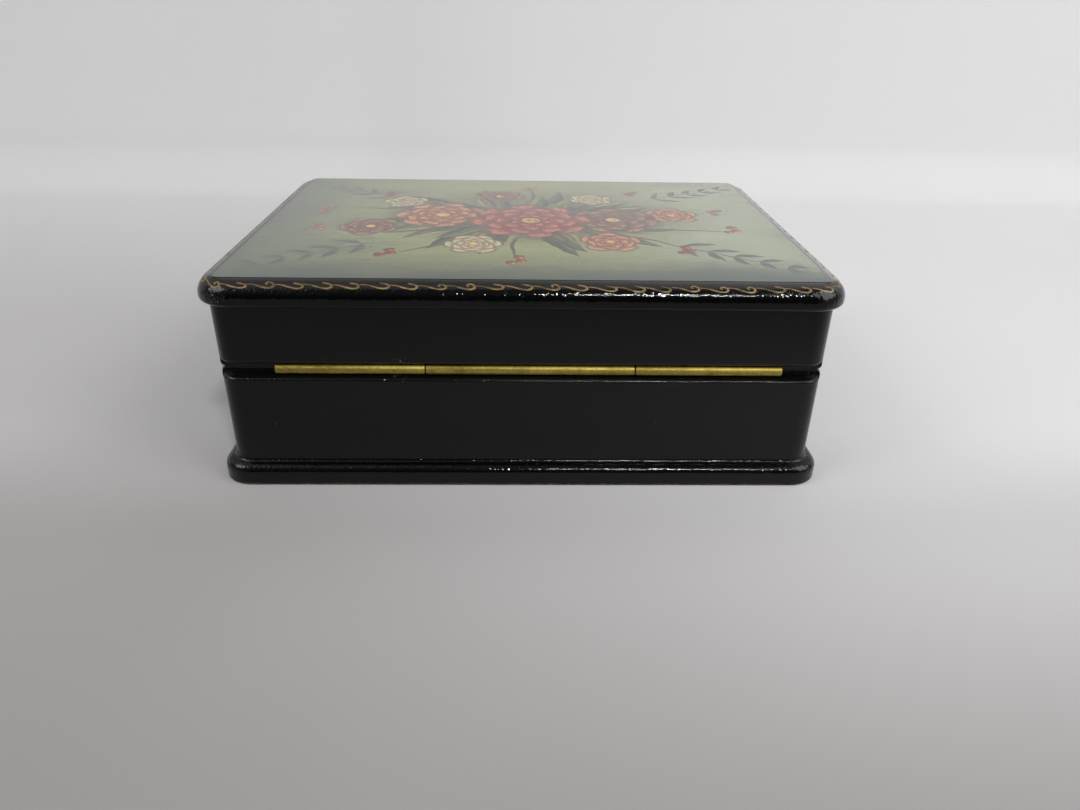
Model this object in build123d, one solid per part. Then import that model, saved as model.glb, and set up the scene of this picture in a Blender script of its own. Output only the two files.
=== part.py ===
from build123d import *
import os

# A pressed-paper lacquer box with a hinged lid. Sizes are in millimetres.
# The origin is the middle of the underside. +X runs along the hinge, -Y is the front, +Z is up.

# Walls, wound as one ring and sawn into base and lid
wall_length = 156.0  # outside, along the hinge
wall_depth = 114.0  # outside, front to back
wall_thick = 4.0
wall_corner = 5.0  # outside radius of the upright corners

# Bottom board
plinth_overhang = 3.3  # how far its edge stands out from the walls
plinth_thick = 5.7
plinth_top_round = 2.4
plinth_foot_bevel = 0.5

# Base
base_wall_height = 26.9  # from the board to the plane where lid and base meet
base_rim_round = 1.9
collar_thick = 1.4
collar_rise = 3.0  # how far the inner collar stands above the rim
collar_bevel = 0.5  # on the collar's outer upper edge, so that the lid finds its place
collar_clearance = 0.3  # to the inside of the lid wall

# Lid
lid_wall_height = 17.7
lid_rim_round = 1.1
lip_overhang = 3.0
lip_thick = 5.0  # from the lip's underside to where the border's slope meets its edge
lip_top_round = 2.6
lip_under_bevel = 1.2
lip_corner_ease = 2.5  # how much more the lip's corners are rounded than a plain offset of the walls'
border_width = 5.0  # from the lip's edge to the painted field
border_rise = 1.15
field_step = 0.05  # the painted field's edge stands this much above the border
field_crown = 0.75  # rise of the painted field from its edges to its middle

# Hinge
barrel_radius = 1.1
barrel_inset = 1.3  # from the back face of the walls to the hinge axis
pin_radius = 0.6
pin_clearance = 0.05  # radial, between the pin and the tubes
hinge_end_inset = 13.2  # from the ends of the back wall to the ends of the hinge, on average
hinge_middle = -1.65  # the hinge was let in a little off the middle of the back wall
centre_knuckle_length = 53.3
knuckle_gap = 0.35  # between neighbouring tubes
knuckle_end_bevel = 0.2  # on the two outermost ends
channel_clearance = 0.3  # between the tubes and the channel that they lie in
lid_channel_extra = 0.2  # further room above the tubes
leaf_thick = 0.5
leaf_depth = 6.0  # how far a leaf is let into its wall
leaf_end_inset = 1.0  # how much shorter than its tube a leaf is, at each end
kerf_clearance = 0.05  # between a leaf and each side of its saw cut

# Leaf pins
leaf_pin_radius = 0.45
leaf_pin_clearance = 0.02  # radial
leaf_pin_bite = 0.9  # how far a pin goes into the wall beyond its leaf
base_pins_per_leaf = 2
lid_pins_per_leaf = 3
leaf_pin_end_inset = 6.0  # from a leaf's end to its first pin

# Levels and places that follow from the sizes
parting = plinth_thick + base_wall_height
lid_wall_top = parting + lid_wall_height
back_face = wall_depth / 2
inside_face = back_face - wall_thick
axis_y = back_face - barrel_inset
channel_face = axis_y - barrel_radius - channel_clearance
channel_floor = parting - barrel_radius - channel_clearance
channel_ceiling = parting + barrel_radius + channel_clearance + lid_channel_extra
inner_corner = wall_corner - wall_thick
leaf_middle = axis_y - barrel_radius + leaf_thick / 2
reach = wall_length + wall_depth  # longer than any cut needs to be
tiny = 0.01  # how near a level an edge has to be in order to be taken by it


def block(grow, bottom, top, ease=0):
    """A solid block of the walls' outline, grown sideways by grow, between two levels."""
    outline = RectangleRounded(wall_length + 2 * grow, wall_depth + 2 * grow, wall_corner + grow + ease)
    return extrude(Plane.XY.offset(bottom) * outline, top - bottom)


def inner_block(shrink, bottom, top):
    """A block of the walls' inside outline, drawn in by shrink, between two levels."""
    length = wall_length - 2 * wall_thick - 2 * shrink
    depth = wall_depth - 2 * wall_thick - 2 * shrink
    return extrude(Plane.XY.offset(bottom) * RectangleRounded(length, depth, inner_corner), top - bottom)


def top_edges(solid):
    return solid.faces().sort_by(Axis.Z)[-1].edges()


def bottom_edges(solid):
    return solid.faces().sort_by(Axis.Z)[0].edges()


def before_channel(solid):
    """The part of a solid that lies in front of the hinge channel's inner face."""
    keep = Pos(0, channel_face, 0) * Box(reach, reach, reach, align=(Align.CENTER, Align.MAX, Align.CENTER))
    return solid & keep


def tube_ring(middle, length, outer, inner=None):
    """A length of rod, or of tube where it has an inner radius, on the hinge axis."""
    start = Plane(origin=(middle - length / 2, axis_y, parting), x_dir=(0, 1, 0), z_dir=(1, 0, 0))
    section = Circle(outer)
    if inner is not None:
        section -= Circle(inner)
    return extrude(start * section, length)


def strip(middle, length, thick, low, high):
    """An upright strip in the plane of the leaves, between two levels."""
    return Pos(middle, leaf_middle, (low + high) / 2) * Box(length, thick, high - low)


def leaf_pin_places(middle, length, count):
    first = middle - length / 2 + leaf_pin_end_inset
    step = (length - 2 * leaf_pin_end_inset) / (count - 1)
    return [first + step * index for index in range(count)]


def leaf_pin(x, level, radius):
    """A pin that runs from a wall's inside face back through a leaf."""
    tip = leaf_middle + leaf_thick / 2 + leaf_pin_bite
    start = Plane(origin=(x, inside_face, level), x_dir=(1, 0, 0), z_dir=(0, 1, 0))
    return extrude(start * Circle(radius), tip - inside_face)


# The hinge's tubes, the leaves soldered to them and the pins that hold the leaves
barrel_half = wall_length / 2 - hinge_end_inset
end_knuckle_length = barrel_half - centre_knuckle_length / 2 - knuckle_gap
end_middle = barrel_half - end_knuckle_length / 2
left_middle, right_middle = hinge_middle - end_middle, hinge_middle + end_middle
hinge_mirror = Plane.YZ.offset(hinge_middle)
bore_radius = pin_radius + pin_clearance
end_leaf_length = end_knuckle_length - 2 * leaf_end_inset
centre_leaf_length = centre_knuckle_length - 2 * leaf_end_inset
base_leaf_foot = channel_floor - leaf_depth
lid_leaf_head = channel_ceiling + leaf_depth
base_pin_level = channel_floor - leaf_depth / 2
lid_pin_level = channel_ceiling + leaf_depth / 2

centre_knuckle = tube_ring(hinge_middle, centre_knuckle_length, barrel_radius, bore_radius)
left_knuckle = tube_ring(left_middle, end_knuckle_length, barrel_radius, bore_radius)
left_rim = left_knuckle.faces().sort_by(Axis.X)[0].edges().sort_by(SortBy.LENGTH)[-1]
left_knuckle = chamfer(left_rim, knuckle_end_bevel)
right_knuckle = mirror(left_knuckle, about=hinge_mirror)

hinge_pin = tube_ring(hinge_middle, 2 * barrel_half, pin_radius)
pin_rims = hinge_pin.edges().filter_by(GeomType.CIRCLE)
hinge_pin = chamfer(pin_rims, pin_clearance)

barrel = tube_ring(hinge_middle, 2 * barrel_half, barrel_radius)
left_pin_places = leaf_pin_places(left_middle, end_leaf_length, base_pins_per_leaf)
right_pin_places = leaf_pin_places(right_middle, end_leaf_length, base_pins_per_leaf)
lid_pin_places = leaf_pin_places(hinge_middle, centre_leaf_length, lid_pins_per_leaf)
base_pin_places = left_pin_places + right_pin_places
base_leaf_pins = [leaf_pin(x, base_pin_level, leaf_pin_radius) for x in base_pin_places]
lid_leaf_pins = [leaf_pin(x, lid_pin_level, leaf_pin_radius) for x in lid_pin_places]

pin_hole_radius = leaf_pin_radius + leaf_pin_clearance
base_pin_holes = [leaf_pin(x, base_pin_level, pin_hole_radius) for x in base_pin_places]
lid_pin_holes = [leaf_pin(x, lid_pin_level, pin_hole_radius) for x in lid_pin_places]

left_leaf = strip(left_middle, end_leaf_length, leaf_thick, base_leaf_foot, parting)
left_leaf = left_leaf - barrel - base_pin_holes
right_leaf = mirror(left_leaf, about=hinge_mirror)
centre_leaf = strip(hinge_middle, centre_leaf_length, leaf_thick, parting, lid_leaf_head)
centre_leaf = centre_leaf - barrel - lid_pin_holes

# Bottom board
plinth_board = block(plinth_overhang, 0, plinth_thick)
plinth_board = fillet(top_edges(plinth_board), plinth_top_round)
plinth_board = chamfer(bottom_edges(plinth_board), plinth_foot_bevel)

# Base wall: full height in front of the channel, down to the channel's floor behind it
kerf_thick = leaf_thick + 2 * kerf_clearance
kerf_ends = leaf_end_inset - kerf_clearance
end_kerf_length = end_knuckle_length - 2 * kerf_ends
centre_kerf_length = centre_knuckle_length - 2 * kerf_ends

full_base = block(0, plinth_thick, parting)
full_base = fillet(top_edges(full_base), base_rim_round)
low_base = block(0, plinth_thick, channel_floor)
low_base = fillet(top_edges(low_base), base_rim_round)
base_wall = before_channel(full_base) + low_base
base_wall -= inner_block(0, plinth_thick, parting)
for middle in (left_middle, right_middle):
    base_wall -= strip(middle, end_kerf_length, kerf_thick, base_leaf_foot, parting)
base_wall -= base_pin_holes

# Collar: stands on the board inside the base wall, and is set back from the lid wall above the rim
collar_top = parting + collar_rise
rim_collar = inner_block(0, plinth_thick, parting) + inner_block(collar_clearance, parting, collar_top)
rim_collar = chamfer(top_edges(rim_collar), collar_bevel)
rim_collar -= inner_block(collar_clearance + collar_thick, plinth_thick, collar_top)

# Lid wall: full height in front of the channel, up from the channel's ceiling behind it
full_lid = block(0, parting, lid_wall_top)
full_lid = fillet(bottom_edges(full_lid), lid_rim_round)
low_lid = block(0, channel_ceiling, lid_wall_top)
low_lid = fillet(bottom_edges(low_lid), lid_rim_round)
lid_wall = before_channel(full_lid) + low_lid
lid_wall -= inner_block(0, parting, lid_wall_top)
lid_wall -= strip(hinge_middle, centre_kerf_length, kerf_thick, parting, lid_leaf_head)
lid_wall -= lid_pin_holes

# Lid board: a plate with a sloped border, and the painted field as a faint cushion inside it
border_top = lid_wall_top + lip_thick + border_rise
field_edge = border_top + field_step
lid_top = field_edge + field_crown
lid_panel = block(lip_overhang, lid_wall_top, border_top, lip_corner_ease)
flat_top = lid_panel.faces().sort_by(Axis.Z)[-1]
lid_panel = chamfer(flat_top.edges(), border_width, border_rise, reference=flat_top)
slope_foot = lid_wall_top + lip_thick
lip_edges = lid_panel.edges().filter_by_position(Axis.Z, slope_foot - tiny, slope_foot + tiny)
lid_panel = fillet(lip_edges, lip_top_round)
lid_panel = chamfer(bottom_edges(lid_panel), lip_under_bevel)

field_half_length = wall_length / 2 + lip_overhang - border_width
field_half_depth = wall_depth / 2 + lip_overhang - border_width
# A patch over nine points rises a quarter as far as its middle point is lifted
middle_lift = 4 * field_crown
lifts = [[0, 0, 0], [0, middle_lift, 0], [0, 0, 0]]
columns = (-field_half_length, 0, field_half_length)
rows = (-field_half_depth, 0, field_half_depth)
field_points = [[(x, y, field_edge + lift) for x, lift in zip(columns, line)] for y, line in zip(rows, lifts)]
cushion = extrude(Face.make_bezier_surface(field_points), lip_thick / 2, dir=(0, 0, -1))
lid_panel += cushion & block(lip_overhang - border_width, lid_wall_top, lid_top, lip_corner_ease)

nodes = {
    "plinth_board": plinth_board,
    "base_wall": base_wall,
    "rim_collar": rim_collar,
    "lid_wall": lid_wall,
    "lid_panel": lid_panel,
    "hinge_pin": hinge_pin,
    "left_knuckle": left_knuckle,
    "centre_knuckle": centre_knuckle,
    "right_knuckle": right_knuckle,
    "left_leaf": left_leaf,
    "centre_leaf": centre_leaf,
    "right_leaf": right_leaf,
    "base_leaf_pins": Compound(children=base_leaf_pins),
    "lid_leaf_pins": Compound(children=lid_leaf_pins),
}

os.makedirs("parts", exist_ok=True)
for name, shape in nodes.items():
    export_step(shape, f"parts/{name}.step")
print("lid top", round(lid_top, 2), "hinge axis", round(axis_y, 2), round(parting, 2))
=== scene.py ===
import math
import random

import bpy
from mathutils import Matrix, Vector


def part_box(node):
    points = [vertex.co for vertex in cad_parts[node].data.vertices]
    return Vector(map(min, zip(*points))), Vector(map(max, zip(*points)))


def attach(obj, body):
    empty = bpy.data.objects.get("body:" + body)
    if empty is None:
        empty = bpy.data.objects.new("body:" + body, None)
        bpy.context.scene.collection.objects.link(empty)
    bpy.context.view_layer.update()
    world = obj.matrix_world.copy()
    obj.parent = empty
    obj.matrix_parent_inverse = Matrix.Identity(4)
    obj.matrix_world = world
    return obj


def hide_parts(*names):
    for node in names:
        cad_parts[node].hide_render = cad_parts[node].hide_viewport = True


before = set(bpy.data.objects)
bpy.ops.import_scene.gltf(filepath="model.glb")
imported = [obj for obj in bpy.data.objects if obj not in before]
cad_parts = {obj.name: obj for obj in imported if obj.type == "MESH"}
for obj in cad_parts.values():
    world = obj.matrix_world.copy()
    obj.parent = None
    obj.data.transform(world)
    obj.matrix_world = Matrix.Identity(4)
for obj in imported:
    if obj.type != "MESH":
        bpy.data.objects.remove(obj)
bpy.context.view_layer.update()        # the imported meshes' places take effect
bpy.ops.object.select_all(action="DESELECT")
mm = 0.001
print("frame loaded:", len(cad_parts), "nodes")


# node helpers: a value is a number, a colour, a vector or another node's socket
def feed(socket, value):
    if isinstance(value, bpy.types.NodeSocket):
        socket.id_data.links.new(value, socket)
    elif socket.type == "RGBA":
        socket.default_value = (*value[:3], 1.0)
    else:
        socket.default_value = value


def newNode(kind, *values):    # in the tree that the values' first socket is in
    sockets = [value for value in values if isinstance(value, bpy.types.NodeSocket)]
    return sockets[0].id_data.nodes.new("ShaderNode" + kind)


def calc(how, *values):
    node = newNode("Math", *values)
    node.operation = how
    for socket, value in zip(node.inputs, values):
        feed(socket, value)
    return node.outputs[0]


def times(first, *others):
    for other in others:
        first = calc("MULTIPLY", first, other)
    return first


def timesPlus(value, factor, rest):
    return calc("MULTIPLY_ADD", value, factor, rest)


def vectorCalc(how, first, second):
    node = newNode("VectorMath", first)
    node.operation = how
    feed(node.inputs[0], first)
    feed(node.inputs["Scale"] if how == "SCALE" else node.inputs[1], second)
    return node.outputs["Value" if how == "DISTANCE" else "Vector"]


def axes(vector):
    node = newNode("SeparateXYZ", vector)
    feed(node.inputs[0], vector)
    return node.outputs["X"], node.outputs["Y"], node.outputs["Z"]


def span(value, low, high, toLow=0.0, toHigh=1.0):    # soft step from low to high
    node = newNode("MapRange", value)
    node.interpolation_type = "SMOOTHSTEP"
    node.clamp = False
    for socket, part in zip(node.inputs, (value, low, high, toLow, toHigh)):
        feed(socket, part)
    return node.outputs[0]


def tint(factor, under, over, how="MIX"):
    node = newNode("Mix", factor, under, over)
    node.data_type = "RGBA"
    node.blend_type = how
    for index, value in ((0, factor), (6, under), (7, over)):
        feed(node.inputs[index], value)
    return node.outputs[2]


def cloud(vector, scale, detail=2.0, rough=0.55, output="Fac"):
    node = newNode("TexNoise", vector)
    for label, value in (("Vector", vector), ("Scale", scale), ("Detail", detail), ("Roughness", rough)):
        feed(node.inputs[label], value)
    return node.outputs[output]


def drawnOut(vector, scales, detail, rough):    # noise with a scale of its own along each axis
    return cloud(vectorCalc("MULTIPLY", vector, scales), 1.0, detail, rough)


def cells(vector, scale, feature="F1"):
    node = newNode("TexVoronoi", vector)
    node.feature = feature
    feed(node.inputs["Vector"], vector)
    feed(node.inputs["Scale"], scale)
    return node.outputs


def objectPlace(tree):    # place on the box, in millimetres
    node = tree.nodes.new("ShaderNodeTexCoord")
    return vectorCalc("SCALE", node.outputs["Object"], 1000.0)


def newGroup(name, inputs, outputs):
    group = bpy.data.node_groups.new(name, "ShaderNodeTree")
    for label, kind, value in inputs:
        socket = group.interface.new_socket(label, in_out="INPUT", socket_type="NodeSocket" + kind)
        socket.default_value = (*value, 1.0) if kind == "Color" else value
    for label, kind in outputs:
        group.interface.new_socket(label, in_out="OUTPUT", socket_type="NodeSocket" + kind)
    given = group.nodes.new("NodeGroupInput").outputs
    made = group.nodes.new("NodeGroupOutput").inputs
    return group, given, made


def useGroup(group, values):
    node = newNode("Group", *values.values())
    node.node_tree = group
    for label, value in values.items():
        feed(node.inputs[label], value)
    return node.outputs


def newFinish(name):
    finish = bpy.data.materials.new(name)
    finish.use_nodes = True
    return finish, finish.node_tree, finish.node_tree.nodes["Principled BSDF"].inputs


def addRelief(shader, height):    # height in millimetres
    bump = newNode("Bump", height)
    bump.inputs["Distance"].default_value = mm
    feed(bump.inputs["Height"], height)
    feed(shader["Normal"], bump.outputs["Normal"])


# hand-rubbed lacquer: slow ripples, orange peel, wiped haze and dust
skinSet = {
    "rippleScale": 0.045, "peelScales": (1.5, 1.5, 0.45), "wipeScales": (0.03, 0.11, 0.16),
    "haze": (0.42, 0.72), "speckScale": 0.26, "speckEdge": (0.05, 0.025),
    "speckLimit": 0.8,    # only the specks above it show
}


def makeLacquerSkin():
    group, given, made = newGroup(
        "lacquerSkin",
        [("Place", "Vector", (0, 0, 0)), ("Ripple", "Float", 0.03), ("Peel", "Float", 0.01)],
        [("Height", "Float"), ("Haze", "Float"), ("Dust", "Float")],
    )
    place = given["Place"]
    ripple = times(cloud(place, skinSet["rippleScale"], 1.0), given["Ripple"])
    peel = times(drawnOut(place, skinSet["peelScales"], 1.0, 0.4), given["Peel"])
    feed(made["Height"], calc("ADD", ripple, peel))
    wiped = drawnOut(place, skinSet["wipeScales"], 4.0, 0.6)
    feed(made["Haze"], span(wiped, *skinSet["haze"]))
    specks = cells(place, skinSet["speckScale"])
    speck = span(specks["Distance"], *skinSet["speckEdge"])
    chosen = calc("GREATER_THAN", axes(specks["Color"])[0], skinSet["speckLimit"])
    feed(made["Dust"], times(speck, chosen))
    return group


# the red of the inside, with the soft unevenness of brushed coats
redSet = {
    "deep": (0.26, 0.015, 0.010), "bright": (0.35, 0.024, 0.015), "brushScales": (0.02, 0.2, 0.2),
    "streaks": 0.5, "blotchScale": 0.05, "blotches": 0.6, "tone": (0.3, 0.8), "ripple": 0.03,
    "peel": 0.010, "gloss": 0.14, "haze": 0.12,
}


def makeRedGround():
    group, given, made = newGroup("redGround", [("Place", "Vector", (0, 0, 0))], [("Color", "Color")])
    streaks = drawnOut(given["Place"], redSet["brushScales"], 4.0, 0.6)
    blotches = times(cloud(given["Place"], redSet["blotchScale"]), redSet["blotches"])
    tone = span(timesPlus(streaks, redSet["streaks"], blotches), *redSet["tone"])
    feed(made["Color"], tint(tone, redSet["deep"], redSet["bright"]))
    return group


lacquerSkin = makeLacquerSkin()
redGround = makeRedGround()

# black lacquer outside, red on the faces turned inwards; places in mm
blackSet = {
    "deep": (0.0004, 0.0008, 0.0007), "warm": (0.0015, 0.0018, 0.0014), "toneScale": 0.09,
    # the dust colour also gives the band below the base's rim a faint painted lift
    "dustAndPaintedLift": (0.16, 0.15, 0.14), "dustShare": 0.35, "gloss": 0.06, "haze": 0.05, "ripple": 0.045,
    "peel": 0.012,
    "gathered": 0.11,    # stronger peel where the lacquer gathers on the edges
    "specular": 0.32,
    "edgeBands": ((-1.0, 7.4), (28.9, 34.6), (50.4, 55.9)),    # foot, rims and lip, in mm above the table
    "edgeSoft": 0.8,
    "polish": (54.7, 55.5),    # the lid's extra coat starts above the turn of the lip
    "polishAcross": (40.0, -75.0),
    "lidCoat": (0.32, 0.9),    # more coats on the lid
    "insideLength": 148.1, "insideDepth": 106.1, "insideLow": 5.6, "insideHigh": 50.4,
}
# lacquer that starts to turn in below the base's rim
rimSet = {
    "level": 32.6,
    "round": 1.9,    # as modelled
    "steady": 0.2,    # the lacquer's slope below that rounding
    "flow": 1.0,    # the turn from the upright wall into the slope
    "slope": 0.8, "starts": (29.5, 30.0), "ends": (32.6, 32.2), "grainScales": (1.9, 1.9, 0.8),
    "grain": 0.06,    # uneven lacquer on that turn
    # painted light: the band's colour is lifted a little towards the dust colour, to lighten its dark turn
    "dustAndPaintedLift": 0.014,
}
# worn lacquer: knocked spots, and the outer edge of the foot, where the ground coat shows
wearSet = {
    "spots": [((75.5, 59.5, 53.4), 5.0), ((31.5, 57.0, 32.9), 4.2)],    # places and sizes
    "core": 0.3,    # share of a spot's size that is worn through
    "crumbScale": 1.1, "crumbs": (0.60, 0.66), "colour": (0.17, 0.125, 0.10), "rough": 0.4,
    "footColour": (0.115, 0.042, 0.032), "footRough": 0.3, "footLow": (1.0, 0.35),
    "footEnds": (78.6, 79.6), "footSides": (57.6, 58.6), "footScale": 0.30,
    "footRubbed": (0.38, 0.62),
}


def wearMask(place):
    crumbs = span(cloud(place, wearSet["crumbScale"], 3.0, 0.7), *wearSet["crumbs"])
    mask = 0.0
    for spot, size in wearSet["spots"]:
        away = vectorCalc("DISTANCE", place, spot)
        mask = calc("MAXIMUM", mask, span(away, size, wearSet["core"] * size))
    return times(mask, crumbs)


def footMask(place, x, y, z):
    rubbed = span(cloud(place, wearSet["footScale"], 3.0), *wearSet["footRubbed"])
    ends = span(calc("ABSOLUTE", x), *wearSet["footEnds"])
    sides = span(calc("ABSOLUTE", y), *wearSet["footSides"])
    return times(span(z, *wearSet["footLow"]), calc("MAXIMUM", ends, sides), rubbed)


def insideMask(x, y, z):
    return times(
        calc("LESS_THAN", calc("ABSOLUTE", x), blackSet["insideLength"] / 2),
        calc("LESS_THAN", calc("ABSOLUTE", y), blackSet["insideDepth"] / 2),
        calc("GREATER_THAN", z, blackSet["insideLow"]),
        calc("LESS_THAN", z, blackSet["insideHigh"]),
    )


def edgeMask(z):
    mask = 0.0
    soft = blackSet["edgeSoft"]
    for low, high in blackSet["edgeBands"]:
        band = times(span(z, low, low + soft), span(z, high, high - soft))
        mask = calc("MAXIMUM", mask, band)
    return mask


def rimTurn(z):    # a height in millimetres
    rise, steady, flow, slope = (rimSet[label] for label in ("round", "steady", "flow", "slope"))
    level = rimSet["level"] - rise - steady - flow
    parts = []
    for length in (flow, steady, rise):
        part = calc("MAXIMUM", calc("SUBTRACT", z, level), 0.0)
        parts.append(calc("MINIMUM", part, length))
        level += length
    turned, even, rounded = parts
    height = times(turned, turned, -slope / (2 * flow))
    height = timesPlus(calc("ADD", even, rounded), -slope, height)
    return timesPlus(times(rounded, rounded), slope / (2 * rise), height)


def makeBlackLacquer(name, coat):
    finish, tree, shader = newFinish(name)
    place = objectPlace(tree)
    x, y, z = axes(place)
    peel = timesPlus(edgeMask(z), blackSet["gathered"], blackSet["peel"])
    skin = useGroup(lacquerSkin, {"Place": place, "Ripple": blackSet["ripple"], "Peel": peel})
    colour = tint(cloud(place, blackSet["toneScale"], 3.0), blackSet["deep"], blackSet["warm"])
    colour = tint(times(skin["Dust"], blackSet["dustShare"]), colour, blackSet["dustAndPaintedLift"])
    foot = footMask(place, x, y, z)
    colour = tint(foot, colour, wearSet["footColour"])
    worn = wearMask(place)
    colour = tint(worn, colour, wearSet["colour"])
    rim = times(span(z, *rimSet["starts"]), span(z, *rimSet["ends"]))
    # painted light: a faint lift of colour in the band below the base's rim
    colour = tint(times(rim, rimSet["dustAndPaintedLift"]), colour, blackSet["dustAndPaintedLift"])
    red = useGroup(redGround, {"Place": place})["Color"]
    colour = tint(insideMask(x, y, z), colour, red)
    feed(shader["Base Color"], colour)
    rough = timesPlus(skin["Haze"], blackSet["haze"], blackSet["gloss"])
    rough = timesPlus(foot, wearSet["footRough"], rough)
    feed(shader["Roughness"], timesPlus(worn, wearSet["rough"], rough))
    shader["Specular IOR Level"].default_value = blackSet["specular"]
    if coat:
        polished = span(x, *blackSet["polishAcross"], *coat)
        feed(shader["Coat Weight"], times(span(z, *blackSet["polish"]), polished))
    height = calc("ADD", skin["Height"], rimTurn(z))
    grain = times(drawnOut(place, rimSet["grainScales"], 2.0, 0.6), rim)
    addRelief(shader, timesPlus(grain, rimSet["grain"], height))
    return finish


def makeRedLacquer():
    finish, tree, shader = newFinish("redLacquer")
    place = objectPlace(tree)
    skin = useGroup(lacquerSkin, {"Place": place, "Ripple": redSet["ripple"], "Peel": redSet["peel"]})
    feed(shader["Base Color"], useGroup(redGround, {"Place": place})["Color"])
    feed(shader["Roughness"], timesPlus(skin["Haze"], redSet["haze"], redSet["gloss"]))
    addRelief(shader, skin["Height"])
    return finish


# drawn brass: streaks along the tube, tarnish in slow blotches, and on the pins painted shade that darkens
# them all over
brassSet = {
    "bright": (0.50, 0.40, 0.095), "worn": (0.23, 0.168, 0.038), "tarnishAndShade": (0.085, 0.056, 0.016),
    "streakScales": (0.035, 3.2, 3.2), "streaks": 0.45, "streakHeight": 0.006,
    "pitScale": 1.3, "pits": 0.55, "pitHeight": 0.02,
    "tone": (0.36, 0.64), "blotchScale": 0.16, "blotches": (0.45, 0.75),
    "allOverFrom": 0.7,    # tarnish, and on the pins painted shade, lies all over above it
    "rough": 0.41, "roughTarnish": 0.15, "roughTone": 0.22,
    "tubes": 0.45,    # tarnish of the tubes and leaves
    # the pins are darkened all over: painted shade for the dark gaps between the tubes, with some tarnish
    "pins": 1.6,
}


def makeDrawnBrass():
    group, given, made = newGroup(
        "drawnBrass",
        [("Place", "Vector", (0, 0, 0)), ("TarnishAndShade", "Float", 0.5)],
        [("Color", "Color"), ("Roughness", "Float"), ("Height", "Float")],
    )
    place, tarnishAndShade = given["Place"], given["TarnishAndShade"]
    streaks = drawnOut(place, brassSet["streakScales"], 3.0, 0.65)
    blotches = span(cloud(place, brassSet["blotchScale"], 3.0), *brassSet["blotches"])
    pits = cloud(place, brassSet["pitScale"], 4.0, 0.7)
    tone = timesPlus(streaks, brassSet["streaks"], times(pits, brassSet["pits"]))
    colour = tint(span(tone, *brassSet["tone"]), brassSet["worn"], brassSet["bright"])
    # tarnish in blotches; above the all-over level the whole metal darkens, which on the pins is painted
    # shade in the hinge's gaps
    tarnishedAndShaded = times(blotches, tarnishAndShade)
    tarnishedAndShaded = calc("MAXIMUM", tarnishedAndShaded, calc("SUBTRACT", tarnishAndShade, brassSet["allOverFrom"]))
    feed(made["Color"], tint(tarnishedAndShaded, colour, brassSet["tarnishAndShade"]))
    rough = timesPlus(tarnishedAndShaded, brassSet["roughTarnish"], brassSet["rough"])
    feed(made["Roughness"], timesPlus(tone, brassSet["roughTone"], rough))
    feed(made["Height"], timesPlus(pits, brassSet["pitHeight"], times(streaks, brassSet["streakHeight"])))
    return group


drawnBrass = makeDrawnBrass()


def makeBrass(name, tarnishAndShade):
    finish, tree, shader = newFinish(name)
    metal = useGroup(drawnBrass, {"Place": objectPlace(tree), "TarnishAndShade": tarnishAndShade})
    shader["Metallic"].default_value = 1.0
    feed(shader["Base Color"], metal["Color"])
    feed(shader["Roughness"], metal["Roughness"])
    addRelief(shader, metal["Height"])
    return finish


# bronze-powder paint of the scroll
goldSet = {
    "light": (0.30, 0.200, 0.085), "dark": (0.105, 0.070, 0.030), "bare": (0.012, 0.010, 0.008),
    "toneScale": 0.55, "tone": (0.32, 0.68), "rubScale": 0.16, "rubbed": (0.56, 0.74, 0.0, 0.85),
    "metal": 0.45, "grainScale": 7.0, "grainHeight": 0.01, "rough": 0.32, "roughGrain": 0.2,
}


def makeGoldPaint():
    finish, tree, shader = newFinish("goldPaint")
    place = objectPlace(tree)
    tone = span(cloud(place, goldSet["toneScale"], 3.0, 0.6), *goldSet["tone"])
    colour = tint(tone, goldSet["dark"], goldSet["light"])
    rubbed = span(cloud(place, goldSet["rubScale"], 4.0, 0.7), *goldSet["rubbed"])
    feed(shader["Base Color"], tint(rubbed, colour, goldSet["bare"]))
    shader["Metallic"].default_value = goldSet["metal"]
    grain = cloud(place, goldSet["grainScale"])
    feed(shader["Roughness"], timesPlus(grain, goldSet["roughGrain"], goldSet["rough"]))
    addRelief(shader, times(grain, goldSet["grainHeight"]))
    return finish


# brush shapes of the painted spray, each laid over the colour that is already there
def strokeInputs(*more):
    return [
        ("Across", "Float", 0.0), ("Up", "Float", 0.0), ("Grain", "Float", 0.5),
        ("Under", "Color", (0, 0, 0)), ("Root Across", "Float", 0.0), ("Root Up", "Float", 0.0),
        ("Turn", "Float", 0.0), *more,
        ("Dark", "Color", (0, 0, 0)), ("Body", "Color", (0, 0, 0)), ("Light", "Color", (1, 1, 1)),
    ]


def strokePlace(given):    # place seen from the root of the stroke
    across = calc("SUBTRACT", given["Across"], given["Root Across"])
    up = calc("SUBTRACT", given["Up"], given["Root Up"])
    cosine, sine = calc("COSINE", given["Turn"]), calc("SINE", given["Turn"])
    ahead = timesPlus(across, cosine, times(up, sine))
    aside = calc("SUBTRACT", times(up, cosine), times(across, sine))
    return ahead, aside


def reach(across, up):
    return calc("SQRT", timesPlus(up, up, times(across, across)))


# leaf: lengths and widths as shares of the stroke's own
leafSet = {
    "belly": (-0.7, 1.35),    # fuller towards the root
    "hairs": 9.0, "hairGrain": 14.0, "hairTone": 0.22, "tipTone": 0.35, "body": (-0.75, 0.25),
    "light": (0.35, 1.15), "veinWidth": (0.14, 0.04), "veinLength": (0.95, 0.55), "vein": 0.75,
    "edge": (1.0, 0.84),
}


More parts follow.
